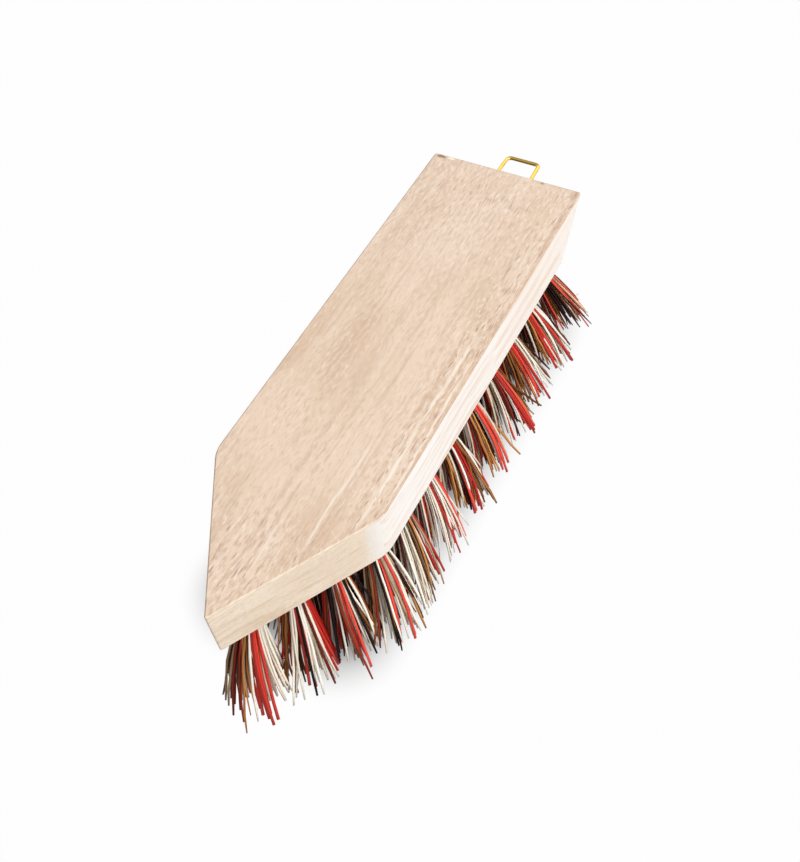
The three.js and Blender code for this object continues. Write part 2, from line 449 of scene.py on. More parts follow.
class Grain(Enum):
    """The cuts through the wood that the block shows, in the order of its material slots."""

    FACE = BeechFinish(
        "beech_flat_grain",
        Palette("ebd3bd", "e0c4ab", "ceb098", "a27c6b", "f8eada"),
        zones=(Zone("X", 85, 10, 0.85), Zone("Y", 11, 20, 0.95), Zone("X", 120, 152, 0.95)),
        streaks=(
            Streak(20.6, 0.75, 62, 136),
            Streak(23.7, 0.5, 68, 126),
            Streak(11.6, 0.55, 104, 150, 0.7),
            Streak(2.7, 0.5, 138, 160, 0.55),
        ),
        marks=(
            # Painted light: this broad faint pale mark lightens the back half of the top, where less lamp
            # light falls.
            Mark((0.0, 0.0), (75.0, 60.0), "f6e8da", 0.12, 0.1),
            Mark((17.0, 24.4), (24.0, 1.9), "bb967c", 0.36, 0.9),
            Mark((2.0, 23.6), (3.2, 2.2), "9c7353", 0.3, 0.8),
            Mark((1.1, -22.4), (0.9, 1.9), "86683f", 0.8),
            Mark((0.9, -18.9), (0.8, 1.3), "fff2dc", 0.9),
            Mark((0.9, 12.3), (0.7, 1.0), "a67f60", 0.7),
        ),
    )
    # Painted light: the long side's near-white colours are the wood's cream made paler for the key lamp
    # that falls on that side.
    SIDE = BeechFinish(
        "beech_long_side",
        Palette("fdfaf7", "fbf5ef", "f1ddce", "e8d0c0", "fdfaf6"),
        line_size=(150, 2.6, 2.6),
        line_amount=1.3,
        ripple_amount=0.2,
        fleck_amount=0.25,
        stroke_amount=0.2,
        marks=(Mark((0.0, 25.0), (75.0, 90.0), "f6e2d0", 0.35, 0.15),),
    )
    FRONT = BeechFinish(
        "beech_slanted_side",
        Palette("fbead6", "f4e0c9", "dfc3a6", "b08d73", "fdf3e4"),
        line_size=(34, 12, 1.7),
        line_amount=0.7,
        ripple_amount=0.5,
        fleck_size=(2.6, 0.7, 0.7),
        fleck_amount=0.7,
        stroke_amount=0.2,
        calm=0.5,
        # Painted highlight: a near-white band over the rounded shoulder.
        marks=(Mark((127.0, 25.0), (8.5, 90.0), "faf5ee", 0.95, 0.2),),
    )
    END = BeechFinish(
        "beech_end_grain",
        Palette("d9bfa5", "cfb195", "c19f84", "a37f66", "e6d2bc"),
        patch_size=(20, 9, 6),
        line_size=(30, 14, 1.0),
        fleck_size=(2.0, 0.45, 3.4),
        fleck_amount=0.5,
        pore_size=(0.5, 0.12, 0.12),
        calm=0.8,
    )
    WORN_EDGE = BeechFinish(
        "beech_worn_edge",
        Palette("d9c0a8", "c9a98d", "b8957a", "9c7a62", "ead6c2"),
        patch_size=(9, 5, 5),
    )
    # Painted highlight: the eased edges that face forward, right and up get this paler colour.
    PALE_EDGE = BeechFinish(
        "beech_pale_edge",
        Palette("ecdac5", "e3cdb6", "d6bba1", "c3a287", "f6ead9"),
        patch_size=(7, 4, 4),
        fleck_amount=0.3,
    )
    BORE = BeechFinish(
        "beech_drilled_hole",
        Palette("b89a7e", "a3836a", "8f6f57", "77583f", "c9ae94"),
        fleck_size=(1.2, 0.6, 0.6),
    )

    @property
    def slot(self) -> int:
        """Give the index of this cut's material on the block."""
        return list(Grain).index(self)


@dataclass(frozen=True)
class FibreFinish:
    """One kind of fibre in the mixture: its share, colours, shape and surface; sizes in millimetres."""

    name: str
    share: float
    light: str
    dark: str
    width: float
    thickness: float
    bow: float
    wave: float
    roughness: float
    gloss: float
    streaks: float
    streak_size: Size = (0.8, 0.8, 11.0)
    mottle_size: Size = (3.0, 3.0, 6.0)
    mottle_tone: Span = (0.9, 1.1)
    # The root band and root shade paint shade onto each fibre near the wood, where the tuft is dense.
    root_band: Span = (0.45, 0.1)
    root_shade: float = 0.45
    roughness_play: float = 0.12
    relief: float = 0.012

    def material(self) -> bpy.types.Material:
        """Make the fibre's material.

        Returns:
            The material, which varies from fibre to fibre and in fine streaks along each one, with painted
            shade towards the root.
        """
        sheet = NodeSheet.for_material(self.name)
        grain = sheet.attribute("fibre_grain", "Vector")
        streak = sheet.noise(grain, self.streak_size, detail=3.0)
        mottle = sheet.noise(grain, self.mottle_size, shift=4.4)
        worn = sheet.product(sheet.math("SUBTRACT", streak, 0.5), self.streaks)
        tone = sheet.band(sheet.math("ADD", sheet.attribute("fibre_shade"), worn), 0.0, 1.0)
        colour = sheet.mix(tone, tint(self.light), tint(self.dark))
        # Painted shade: each fibre darkens towards its fold in the hole, as if shaded by the tuft round
        # it.
        painted_root_shade = sheet.product(sheet.band(sheet.attribute("fibre_reach"), *self.root_band), self.root_shade)
        lit = sheet.math("SUBTRACT", sheet.level(mottle, *self.mottle_tone), painted_root_shade)
        rough, play = self.roughness, self.roughness_play
        return sheet.surface(
            Base_Color=sheet.shaded(colour, lit),
            Roughness=sheet.level(streak, rough - play, rough + play),
            Specular_IOR_Level=self.gloss,
            Normal=sheet.bump(streak, self.relief * self.streaks * MM),
        )


class FibreKind(Enum):
    """The fibres that are mixed in every tuft, in the order of its material slots.

    Each row gives the name, share, two colours, width, thickness, bow, wave, roughness, gloss and streaks.
    """

    RED = FibreFinish("fibre_red", 0.25, "ea4a38", "b21a12", 0.95, 0.56, 0.35, 0.0, 0.42, 0.35, 0.25)
    WHITE = FibreFinish("fibre_white", 0.36, "fcf6ea", "e0d2bb", 0.74, 0.54, 0.5, 0.06, 0.45, 0.3, 0.25)
    MAROON = FibreFinish("fibre_maroon", 0.07, "8c2c1c", "4a160d", 0.74, 0.54, 0.4, 0.08, 0.6, 0.15, 0.8)
    BLACK = FibreFinish("fibre_black", 0.04, "2c1612", "0c0504", 0.8, 0.56, 0.4, 0.04, 0.55, 0.12, 0.4)
    BROWN = FibreFinish("fibre_brown", 0.17, "c98a4c", "56260e", 0.76, 0.58, 0.45, 0.15, 0.7, 0.2, 1.3)
    TAN = FibreFinish("fibre_tan", 0.06, "dc9d5c", "8f5522", 0.56, 0.46, 0.5, 0.12, 0.7, 0.2, 1.1)
    GREY = FibreFinish("fibre_grey", 0.05, "b89c7c", "74573c", 0.7, 0.55, 0.5, 0.12, 0.7, 0.2, 1.0)

    @property
    def slot(self) -> int:
        """Give the index of this fibre's material on a tuft."""
        return list(FibreKind).index(self)


Swap = tuple[FibreKind, FibreKind]


@dataclass(frozen=True)
class WireFinish:
    """Drawn metal wire with fine lines along it and a little tarnish.

    The painted shade end is the stretch of X, in millimetres, over which the tarnish colour grows from
    none to full: a painted dark reflection on the crossbar, not tarnish.
    """

    name: str
    bright: str
    tarnish: str
    roughness: float
    tarnish_amount: float
    painted_shade_end: Span | None = None
    draw_size: Size = (6.0, 0.12, 0.12)
    draw_tone: Span = (0.88, 1.08)
    draw_depth: float = 0.008
    patch_size: Size = (2.4, 2.4, 0.9)
    patch_band: Span = (0.42, 0.75)
    roughness_play: Span = (-0.08, 0.14)

    def material(self) -> bpy.types.Material:
        """Make the wire's material.

        Returns:
            The material, with drawing lines along the wire, tarnish in patches, and painted shade over the
            given end.
        """
        sheet = NodeSheet.for_material(self.name)
        place = sheet.place()
        drawn = sheet.noise(place, self.draw_size, detail=3.0)
        patch = sheet.noise(place, self.patch_size, detail=3.0, shift=1.7)
        tarnish_and_painted_shade = sheet.product(sheet.band(patch, *self.patch_band), self.tarnish_amount)
        # Painted shade: the far end of the loop takes the tarnish colour, standing for the dark
        # surroundings that it reflects.
        if self.painted_shade_end:
            x = sheet.node("SeparateXYZ", {0: place}).outputs["X"]
            tarnish_and_painted_shade = sheet.math("MAXIMUM", tarnish_and_painted_shade, sheet.band(x, *self.painted_shade_end))
        colour = sheet.mix(tarnish_and_painted_shade, tint(self.bright), tint(self.tarnish))
        return sheet.surface(
            Base_Color=sheet.shaded(colour, sheet.level(drawn, *self.draw_tone)),
            Metallic=1.0,
            Roughness=sheet.level(patch, *(self.roughness + play for play in self.roughness_play)),
            Normal=sheet.bump(drawn, self.draw_depth * MM),
        )


# Brass: the last span paints the crossbar dark, a painted reflection; the tarnish colour serves both real
# tarnish patches and this painted shade.
BRASS = WireFinish("drawn_brass", "f2cc62", "a08444", 0.38, 0.3, (-93.2, -94.2))
GALVANISED = WireFinish("galvanised_steel", "b4b4b0", "83827d", 0.42, 0.6)


@dataclass(frozen=True)
class Bore:
    """A round blind hole: the middle of its mouth, its way into the wood, its radius and its depth."""

    mouth: Vector
    inward: Vector
    radius: float
    depth: float


class SweptMesh:
    """Collects round or flattened strands, each swept along its own line, into one mesh."""

    MAP_MARGIN = 0.02
    STRIP_INSET = 0.04
    CAP_SIZE = 0.4
    GRAIN_SHIFT = 40
    LENGTH_SHIFT = 7

    def __init__(self, sides: int) -> None:
        """Start with no strands.

        Args:
            sides: How many sides each strand will have.
        """
        self.sides = sides
        self.turn = np.arange(sides) * 2 * math.pi / sides
        self.lines: list[np.ndarray] = []
        self.rings: list[np.ndarray] = []
        self.slots: list[int] = []
        self.shades: list[float] = []

    def sweep(
        self,
        line: np.ndarray,
        across: Vector,
        half_width: np.ndarray,
        half_thickness: np.ndarray,
        slot: int = 0,
        shade: float = 0.5,
    ) -> None:
        """Add one strand.

        Args:
            line: Its middle line, one point in each row.
            across: About the direction of its width, never along the line.
            half_width: Half its width at each point.
            half_thickness: Half its thickness at each point.
            slot: The index of its material.
            shade: A number from 0 to 1 that sets it apart from its neighbours.
        """
        along = np.gradient(line, axis=0)
        along /= np.linalg.norm(along, axis=1, keepdims=True)
        wide = np.array(across) - (along @ np.array(across))[:, None] * along
        wide /= np.linalg.norm(wide, axis=1, keepdims=True)
        thick = np.cross(along, wide)
        offset = np.cos(self.turn)[:, None] * (wide * half_width[:, None])[:, None, :]
        offset = offset + np.sin(self.turn)[:, None] * (thick * half_thickness[:, None])[:, None, :]
        self.lines.append(line)
        self.rings.append(line[:, None, :] + offset)
        self.slots.append(slot)
        self.shades.append(shade)

    def strand_faces(self, first: int, rings: int) -> list[tuple[int, ...]]:
        """List the faces of one strand.

        Args:
            first: The index of its first vertex.
            rings: How many rings of vertices it has.

        Returns:
            The sides, ring by ring, and then the two end caps.
        """
        n = self.sides
        faces = []
        for i in range(rings - 1):
            start = first + i * n
            for j in range(n):
                k = (j + 1) % n
                faces.append((start + j, start + k, start + n + k, start + n + j))
        last = first + (rings - 1) * n
        faces.append(tuple(first + j for j in reversed(range(n))))
        faces.append(tuple(last + j for j in range(n)))
        return faces

    def strand_map(self, strand: int, rings: int) -> np.ndarray:
        """Lay one strand out flat in its own strip of the bake map.

        Args:
            strand: The strand's index.
            rings: How many rings of vertices it has.

        Returns:
            The map's coordinates, corner by corner in the order of strand_faces.
        """
        n, margin, inset = self.sides, self.MAP_MARGIN, self.STRIP_INSET
        strip = 1 / len(self.rings)
        column, row = np.meshgrid(np.arange(rings - 1), np.arange(n), indexing="ij")
        corner_column = np.stack([column, column, column + 1, column + 1], axis=-1)
        corner_row = np.stack([row, row + 1, row + 1, row], axis=-1)
        u = margin + (1 - 2 * margin) * corner_column / (rings - 1)
        v = (strand + inset + (1 - 2 * inset) * corner_row / n) * strip
        sides = np.stack([u, v], axis=-1).reshape(-1, 2)
        disc = self.CAP_SIZE * np.stack([margin * np.cos(self.turn), strip * np.sin(self.turn)], axis=-1)
        middle = (strand + 0.5) * strip
        caps = [disc[::-1] + (margin / 2, middle), disc + (1 - margin / 2, middle)]
        return np.concatenate([sides, *caps])

    def object(self, name: str, materials: Sequence[bpy.types.Material]) -> bpy.types.Object:
        """Make one object of all the strands.

        Args:
            name: The object's name.
            materials: Its materials, in the order of their slots.

        Returns:
            The new object, linked to the scene.
        """
        mesh = bpy.data.meshes.new(name)
        points = np.concatenate([ring.reshape(-1, 3) for ring in self.rings])
        faces: list[tuple[int, ...]] = []
        slots: list[int] = []
        smooth: list[bool] = []
        maps: list[np.ndarray] = []
        first = 0
        for strand, ring in enumerate(self.rings):
            made = self.strand_faces(first, len(ring))
            faces += made
            slots += [self.slots[strand]] * len(made)
            smooth += [True] * (len(made) - 2) + [False] * 2
            maps.append(self.strand_map(strand, len(ring)))
            first += ring.shape[0] * ring.shape[1]
        mesh.from_pydata(points.tolist(), [], faces)
        for material in materials:
            mesh.materials.append(material)
        mesh.polygons.foreach_set("material_index", slots)
        mesh.polygons.foreach_set("use_smooth", smooth)
        layer = mesh.uv_layers.new(name=BAKE_MAP)
        layer.uv.foreach_set("vector", np.concatenate(maps).astype(np.float32).ravel())
        self.carry_values(mesh)
        return link(name, mesh)

    def carry_values(self, mesh: bpy.types.Mesh) -> None:
        """Write what the materials read: each strand's shade, the reach from its middle and its grain.

        Args:
            mesh: The mesh of all the strands.
        """
        shades, reaches, grains = [], [], []
        for line, shade in zip(self.lines, self.shades):
            steps = np.linalg.norm(np.diff(line, axis=0), axis=1)
            along = np.concatenate([[0.0], np.cumsum(steps)]) / MM
            reach = np.abs(2 * along / along[-1] - 1)
            shades.append(np.full(len(line) * self.sides, shade))
            reaches.append(np.repeat(reach, self.sides))
            shift = self.GRAIN_SHIFT * shade
            grain = [
                np.tile(np.cos(self.turn), len(line)) + shift,
                np.tile(np.sin(self.turn), len(line)) - shift,
                np.repeat(along, self.sides) + self.LENGTH_SHIFT * shift,
            ]
            grains.append(np.stack(grain, axis=-1))
        for name, values in (("fibre_shade", shades), ("fibre_reach", reaches)):
            layer = mesh.attributes.new(name, "FLOAT", "POINT")
            layer.data.foreach_set("value", np.concatenate(values).astype(np.float32))
        layer = mesh.attributes.new("fibre_grain", "FLOAT_VECTOR", "POINT")
        layer.data.foreach_set("vector", np.concatenate(grains).astype(np.float32).ravel())


def link(name: str, data: bpy.types.ID) -> bpy.types.Object:
    """Put a mesh, a light or a camera into the scene.

    Args:
        name: The new object's name.
        data: What it shows.

    Returns:
        The new object.
    """
    obj = bpy.data.objects.new(name, data)
    bpy.context.scene.collection.objects.link(obj)
    return obj


def seat(obj: bpy.types.Object, slot: str, *nodes: str) -> None:
    """Set a piece on the brush's body and hide the solids that it stands for.

    Args:
        obj: The piece.
        slot: Not used.
        nodes: The solids that it replaces.
    """
    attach(obj, BODY)
    if nodes:
        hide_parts(*nodes)
    LOG.info("%s: %d faces", obj.name, len(obj.data.polygons))


@dataclass
class BeechBlock:
    """The wooden block: pointed at the front, slanted in under its top at the back, with eased edges."""

    node: str = "beech_block"
    slot: str = "beech"
    length: float = 171.5 * MM
    width: float = 50 * MM
    point_length: float = 42.5 * MM
    back_undercut: float = 13.5 * MM
    shoulder_radius: float = 9 * MM
    point_radius: float = 0.6 * MM
    point_gain: float = 0.872 * MM
    back_corner_radius: float = 0.8 * MM
    edge_easing: float = 0.45 * MM
    corner_segments: int = 8
    easing_segments: int = 3
    bore_sides: int = 28
    bore_overrun: float = 5 * MM
    weld: float = 0.002 * MM
    level_play: float = 0.01 * MM
    smooth_angle: float = math.radians(40)
    flat: float = 0.98
    tilted: float = 0.1
    turned: float = 0.2
    slanted: float = 0.3

    def __post_init__(self) -> None:
        """Take the levels and the back edge from the frame; the point is crisper than the solid's."""
        low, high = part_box(self.node)
        self.underside = low.z
        self.top = high.z
        half_point = math.atan2(self.width / 2, self.point_length)
        blunted = self.point_radius * (1 / math.sin(half_point) - 1)
        self.back = high.x + self.point_gain + blunted - self.length

    def back_face_at(self, level: float) -> float:
        """Give the X of the slanted back face at a level."""
        return self.back + self.back_undercut * (self.top - level) / (self.top - self.underside)

    def build(self, bores: Sequence[Bore]) -> None:
        """Make the block with its holes.

        Args:
            bores: The holes to drill.
        """
        shape = self.blank()
        self.round_corners(shape)
        self.ease_edges(shape)
        mesh = bpy.data.meshes.new(self.node)
        for cut in Grain:
            mesh.materials.append(cut.value.material(self.back))
        shape.to_mesh(mesh)
        shape.free()
        block = link("block_of_beech", mesh)
        self.sort_faces(mesh)
        self.drill(block, bores)
        seat(block, self.slot, self.node)

    def blank(self) -> bmesh.types.BMesh:
        """Make the sharp-edged board.

        Returns:
            The board's mesh, with its slanted back end.
        """
        shape = bmesh.new()
        half = self.width / 2
        shoulder = self.length - self.point_length
        corners = [(0.0, -half), (shoulder, -half), (self.length, 0.0), (shoulder, half), (0.0, half)]
        top = [shape.verts.new((self.back + x, y, self.top)) for x, y in corners]
        under = []
        for x, y in corners:
            undercut = 0.0 if x else self.back_undercut
            under.append(shape.verts.new((self.back + x + undercut, y, self.underside)))
        shape.faces.new(top)
        shape.faces.new(reversed(under))
        for i in range(len(corners)):
            j = (i + 1) % len(corners)
            shape.faces.new((under[i], under[j], top[j], top[i]))
        shape.normal_update()
        return shape

    def round_corners(self, shape: bmesh.types.BMesh) -> None:
        """Round the upright edges, each to its own radius.

        Args:
            shape: The board's mesh.
        """
        shoulder_x = self.back + self.length - self.point_length
        point_x = self.back + self.length
        upright = [e for e in shape.edges if abs(e.verts[0].co.z - e.verts[1].co.z) > MM]
        for edge in upright:
            x = max(v.co.x for v in edge.verts)
            radius = self.back_corner_radius
            if abs(x - shoulder_x) < MM:
                radius = self.shoulder_radius
            if abs(x - point_x) < MM:
                radius = self.point_radius
            inner = math.pi - edge.calc_face_angle()
            self.bevel(shape, [edge], radius / math.tan(inner / 2), self.corner_segments)

    def ease_edges(self, shape: bmesh.types.BMesh) -> None:
        """Take the sharpness off the edges of the top, the underside and the back end.

        Args:
            shape: The board's mesh.
        """
        level = [e for e in shape.edges if abs(e.verts[0].co.z - e.verts[1].co.z) < self.level_play]
        rim = [e for e in level if e.calc_face_angle() > self.smooth_angle]
        self.bevel(shape, rim, self.edge_easing, self.easing_segments)
        bmesh.ops.dissolve_degenerate(shape, edges=shape.edges, dist=self.weld)

    @staticmethod
    def bevel(shape: bmesh.types.BMesh, edges: Sequence, offset: float, segments: int) -> None:
        """Round edges off, by an offset to both sides of each."""
        settings = {"offset_type": "OFFSET", "profile": 0.5, "affect": "EDGES"}
        bmesh.ops.bevel(shape, geom=edges, offset=offset, segments=segments, **settings)

    def sort_faces(self, mesh: bpy.types.Mesh) -> None:
        """Give every face the cut of the wood that its direction shows.

        Args:
            mesh: The block's mesh.
        """
        for face in mesh.polygons:
            face.material_index = self.cut_of(face.normal, face.center).slot

    def cut_of(self, normal: Vector, middle: Vector) -> Grain:
        """Tell which cut of the wood a face shows.

        Args:
            normal: The face's outward direction.
            middle: The face's middle.

        Returns:
            The cut.
        """
        depth = min(self.top - middle.z, middle.z - self.underside)
        if abs(normal.z) > self.flat:
            return Grain.FACE
        if depth < self.edge_easing and abs(normal.z) > self.tilted:
            # Painted highlight: eased edges facing forward, right and up are made pale; the others keep
            # the worn colour.
            pale = normal.x > self.tilted and normal.y > 0 and normal.z > 0
            return Grain.PALE_EDGE if pale else Grain.WORN_EDGE
        if normal.x < -self.tilted:
            return Grain.WORN_EDGE if abs(normal.y) > self.turned else Grain.END
        return Grain.FRONT if normal.x > self.slanted else Grain.SIDE

    def drill(self, block: bpy.types.Object, bores: Sequence[Bore]) -> None:
        """Cut the blind holes and settle the shading.

        Args:
            block: The block's object.
            bores: The holes to cut.
        """
        tool = self.drill_bits(bores)
        cut = block.modifiers.new("drill", "BOOLEAN")
        cut.operation = "DIFFERENCE"
        cut.solver = "MANIFOLD"
        cut.object = tool
        graph = bpy.context.evaluated_depsgraph_get()
        drilled = bpy.data.meshes.new_from_object(block.evaluated_get(graph))
        drilled.shade_smooth()
        drilled.set_sharp_from_angle(angle=self.smooth_angle)
        block.modifiers.remove(cut)
        block.data = drilled
        bpy.data.objects.remove(tool)
        block.modifiers.new("even_shading", "WEIGHTED_NORMAL").keep_sharp = True

    def drill_bits(self, bores: Sequence[Bore]) -> bpy.types.Object:
        """Make the solids that the holes are cut with.

        Args:
            bores: The holes.

        Returns:
            One object with a closed round bar for each hole.
        """
        shape = bmesh.new()
        for bore in bores:
            length = bore.depth + self.bore_overrun
            turn = bore.inward.to_track_quat("Z", "Y").to_matrix().to_4x4()
            turn.translation = bore.mouth + bore.inward * (bore.depth - length / 2)
            bmesh.ops.create_cone(
                shape,
                cap_ends=True,
                segments=self.bore_sides,
                radius1=bore.radius,
                radius2=bore.radius,
                depth=length,
                matrix=turn,
            )
        mesh = bpy.data.meshes.new("drill_bits")
        shape.to_mesh(mesh)
        shape.free()
        for face in mesh.polygons:
            face.material_index = Grain.BORE.slot
        return link("drill_bits", mesh)


@dataclass
class HangingLoop:
    """The wire loop: two legs driven into the slanted back end, and a crossbar between tight bends."""

    node: str = "hanging_loop"
    slot: str = "brass_wire"
    wire_diameter: float = 1.2 * MM
    width: float = 12 * MM
    taper: float = 1 * MM
    reach: float = 17.7 * MM
    bend_radius: float = 1.5 * MM
    leg_embed: float = 12 * MM
    bore_gap: float = 0.06 * MM
    end_share: float = 0.6
    end_bevel: float = 0.3 * MM
    bend_steps: int = 8
    straight_steps: int = 6
    sides: int = 20

    def __post_init__(self) -> None:
        """Take the level of the loop from the frame."""
        low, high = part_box(self.node)
        self.level = (low.z + high.z) / 2

    def bores(self, block: BeechBlock) -> list[Bore]:
        """Give the holes that the legs are driven into.

        Args:
            block: The block that holds them.

        Returns:
            One hole for each leg.
        """
        face = block.back_face_at(self.level)
        radius = self.wire_diameter / 2 + self.bore_gap
        depth = self.leg_embed + self.bore_gap
        mouths = [Vector((face, side * self.width / 2, self.level)) for side in (-1, 1)]
        return [Bore(mouth, Vector((1, 0, 0)), radius, depth) for mouth in mouths]

    def build(self, block: BeechBlock) -> None:
        """Bend the wire.

        Args:
            block: The block that holds the legs.
        """
        line = self.line(block.back_face_at(self.level))
        radius = np.full(len(line), self.wire_diameter / 2)
        radius[[0, -1]] *= self.end_share
        swept = SweptMesh(self.sides)
        swept.sweep(line, Vector((0, 0, 1)), radius, radius)
        loop = swept.object("loop_of_wire", [BRASS.material()])
        seat(loop, self.slot, self.node)

    def line(self, face: float) -> np.ndarray:
        """Give the middle line of the wire.

        Args:
            face: Where the back face is at the loop's level.

        Returns:
            Its points, from the end of one leg to the end of the other.
        """
        foot, end = self.width / 2, (self.width - self.taper) / 2
        far = face - self.reach
        inner = face + self.leg_embed
        r = self.bend_radius
        half = [(inner, foot), (inner - self.end_bevel, foot)]
        half += [(x, foot) for x in np.linspace(inner - MM, face, self.straight_steps)]
        leg_x = np.linspace(face, far + r, self.straight_steps + 1)[1:]
        half += [(x, foot + (end - foot) * (face - x) / (face - far - r)) for x in leg_x]
        for turn in np.linspace(0, math.pi / 2, self.bend_steps)[1:]:
            half.append((far + r - r * math.sin(turn), end - r + r * math.cos(turn)))
        half += [(far, y) for y in np.linspace(end - r, 0, self.straight_steps)[1:-1]]
        other = [(x, -y) for x, y in reversed(half)]
        return np.array([(x, y, self.level) for x, y in half + [(far, 0.0)] + other])


@dataclass(frozen=True)
class Clump:
    """Filaments of one kind that stand together: their middle, and how far their two sides lean."""

    middle: complex
    kind: FibreKind
    leans: tuple[complex, complex]


@dataclass
class Tuft:
    """One tuft: filaments folded over a flat anchor wire in a drilled hole, opening out to ragged ends.

    Places across the tuft are complex numbers: along the anchor and away from it.
    """

    node: str
    rng: Random
    slot: str = "fibre_mix"
    anchor_slot: str = "anchor_wire"
    hole_radius: float = 3.0 * MM
    hole_depth: float = 11.0 * MM
    filled_radius: float = 2.6 * MM
    end_radius: float = 7.6 * MM
    spacing: float = 0.5 * MM
    fold_depth: float = 8.0 * MM
    half_anchor: float = 0.45 * MM
    anchor_width: float = 1.6 * MM
    anchor_thickness: float = 0.4 * MM
    anchor_skew: float = 0.3
    anchor_seat: float = 0.6
    anchor_steps: int = 7
    anchor_sides: int = 8
    rim_ease: float = 0.1
    end_taper: float = 0.65
    locks: int = 8
    lock_pull: float = 0.3
    ragged: float = 4.5 * MM
    lock_share: float = 0.45
    fibre_share: float = 0.55
    usual_share: float = 0.1
    thinnest: float = 0.85
    thickest: float = 1.15
    unevenness: float = 0.12
    wavelengths: Span = (7, 14)
    clump_lean: float = 0.8 * MM
    fibre_lean: float = 0.4 * MM
    clumps: int = 16
    loyalty: float = 0.8
    sweep: float = 3.0 * MM
    sweep_range: Span = (52 * MM, 40 * MM)
    back_range: Span = (-62 * MM, -50 * MM)
    tip_comb: Span = (-1.4 * MM, 3.8 * MM)
    tip_bush: float = 1.6 * MM
    tip_share: float = 0.9
    tip_range: Span = (63 * MM, 76 * MM)
    stray_share: float = 0.08
    stray_width: float = 0.9 * MM
    stray_lean: float = 3.4 * MM
    stray_bow: float = 1.2 * MM
    lean_limit: float = 5.5 * MM
    front_from: float = 44 * MM
    front_bush: float = 1.0 * MM
    # Partly painted shade: front tufts trade red and brown clumps for black fibres, darkening the front of
    # the fringe as its shade does.
    front_swaps: tuple[Swap, ...] = (
        (FibreKind.RED, FibreKind.BLACK),
        (FibreKind.BROWN, FibreKind.BLACK),
    )
    tip_swaps: tuple[Swap, ...] = ((FibreKind.RED, FibreKind.GREY),)
    inner_row: float = 10 * MM
    inner_bush: float = 1.8 * MM
    near_comb: float = -1.3 * MM
    far_comb: float = 2.2 * MM
    far_bush: float = -1.0 * MM
    calm: float = 0.4
    sides: int = 5
    leg_steps: int = 7
    fold_steps: int = 3

    def __post_init__(self) -> None:
        """Take the tuft's root, direction and locks from its solid in the frame."""
        points = {tuple(round(c, 6) for c in v.co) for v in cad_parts[self.node].data.vertices}
        ordered = np.array(sorted(points, key=lambda p: p[2]))
        gaps = np.argsort(np.diff(ordered[:, 2]))[-2:] + 1
        _, mouth, bottom = np.split(ordered, sorted(gaps))
        self.root = Vector(mouth.mean(axis=0))
        self.axis = (self.root - Vector(bottom.mean(axis=0))).normalized()
        self.length = self.root.z / -self.axis.z
        first_lock = Vector((0, 0, -1)).rotation_difference(self.axis) @ Vector((0, 1, 0))
        tipward = self.progress(self.tip_range)
        row = Vector((-1, math.copysign(2 * tipward, self.root.y), 0)).normalized()
        skew = row.dot(self.axis.cross(first_lock))
        self.anchor_turn = math.atan2(skew, row.dot(first_lock)) + self.rng.gauss(0, self.anchor_skew)
        self.along_anchor = Quaternion(self.axis, self.anchor_turn) @ first_lock
        self.over_anchor = self.axis.cross(self.along_anchor)
        inner = tipward == 0 and abs(self.root.y) < self.inner_row
        swept = 1.0 if inner else self.progress(self.sweep_range) * self.progress(self.back_range)
        self.comb = Vector((self.sweep * swept, 0, 0)) + Vector((*self.tip_comb, 0)) * tipward
        self.end_radius += self.inner_bush if inner else self.tip_bush * tipward
        self.at_tip = tipward > self.tip_share
        self.far = self.root.y < -MM
        if self.far and not inner:
            self.comb.y += self.far_comb
            self.end_radius += self.far_bush
        elif self.root.x < self.sweep_range[0] and not inner:
            self.comb.y += self.near_comb
        if self.root.x > self.front_from and not self.far:
            self.end_radius += self.front_bush
        self.lock_levels = [self.rng.uniform(0, self.lock_share) * self.ragged for _ in range(self.locks)]
        self.clump_places = self.scatter_clumps()

    def progress(self, stretch: Span) -> float:
        """Tell how far along a stretch of the block the tuft stands, from 0 before it to 1 beyond it."""
        return min(1.0, max(0.0, (self.root.x - stretch[0]) / (stretch[1] - stretch[0])))

    def bore(self) -> Bore:
        """Give the hole that the tuft sits in."""
        return Bore(self.root, -self.axis, self.hole_radius, self.hole_depth)

    def build(self, materials: Sequence[bpy.types.Material], steel: bpy.types.Material) -> None:
        """Make the tuft and its anchor.

        Args:
            materials: The fibres' materials, in the order of FibreKind.
            steel: The anchor wire's material.
        """
        swept = SweptMesh(self.sides)
        for place in self.places():
            self.lay_filament(swept, place)
        tuft = swept.object("fibres_" + self.node, materials)
        seat(tuft, self.slot, self.node)
        self.build_anchor(steel)

    def chance(self, size: float) -> complex:
        """Give a chance offset across the tuft, of about this size each way."""
        return complex(self.rng.gauss(0, size), self.rng.gauss(0, size))

    def held_in(self, lean: complex) -> complex:
        """Shorten a lean that is longer than any fibre's."""
        return lean * min(1.0, self.lean_limit / max(abs(lean), 0.01 * MM))

    def scatter_clumps(self) -> list[Clump]:
        """Choose where the clumps of one kind of fibre lie, and how each leans.

        Returns:
            The clumps, with every kind among them.
        """
        kinds = []
        for kind in FibreKind:
            kinds += [kind] * max(1, round(kind.value.share * self.clumps))
        self.rng.shuffle(kinds)
        # Partly painted shade: black fibres stand in for the shade at the front tufts.
        if self.root.x > self.front_from:
            for spare, other in self.tip_swaps if self.at_tip else self.front_swaps:
                kinds[kinds.index(spare)] = other
        found = []
        for kind in kinds:
            middle = complex(self.rng.uniform(-1, 1), self.rng.uniform(0, 1)) * self.filled_radius
            leans = (self.chance(self.clump_lean), self.chance(self.clump_lean))
            found.append(Clump(middle, kind, leans))
        return found

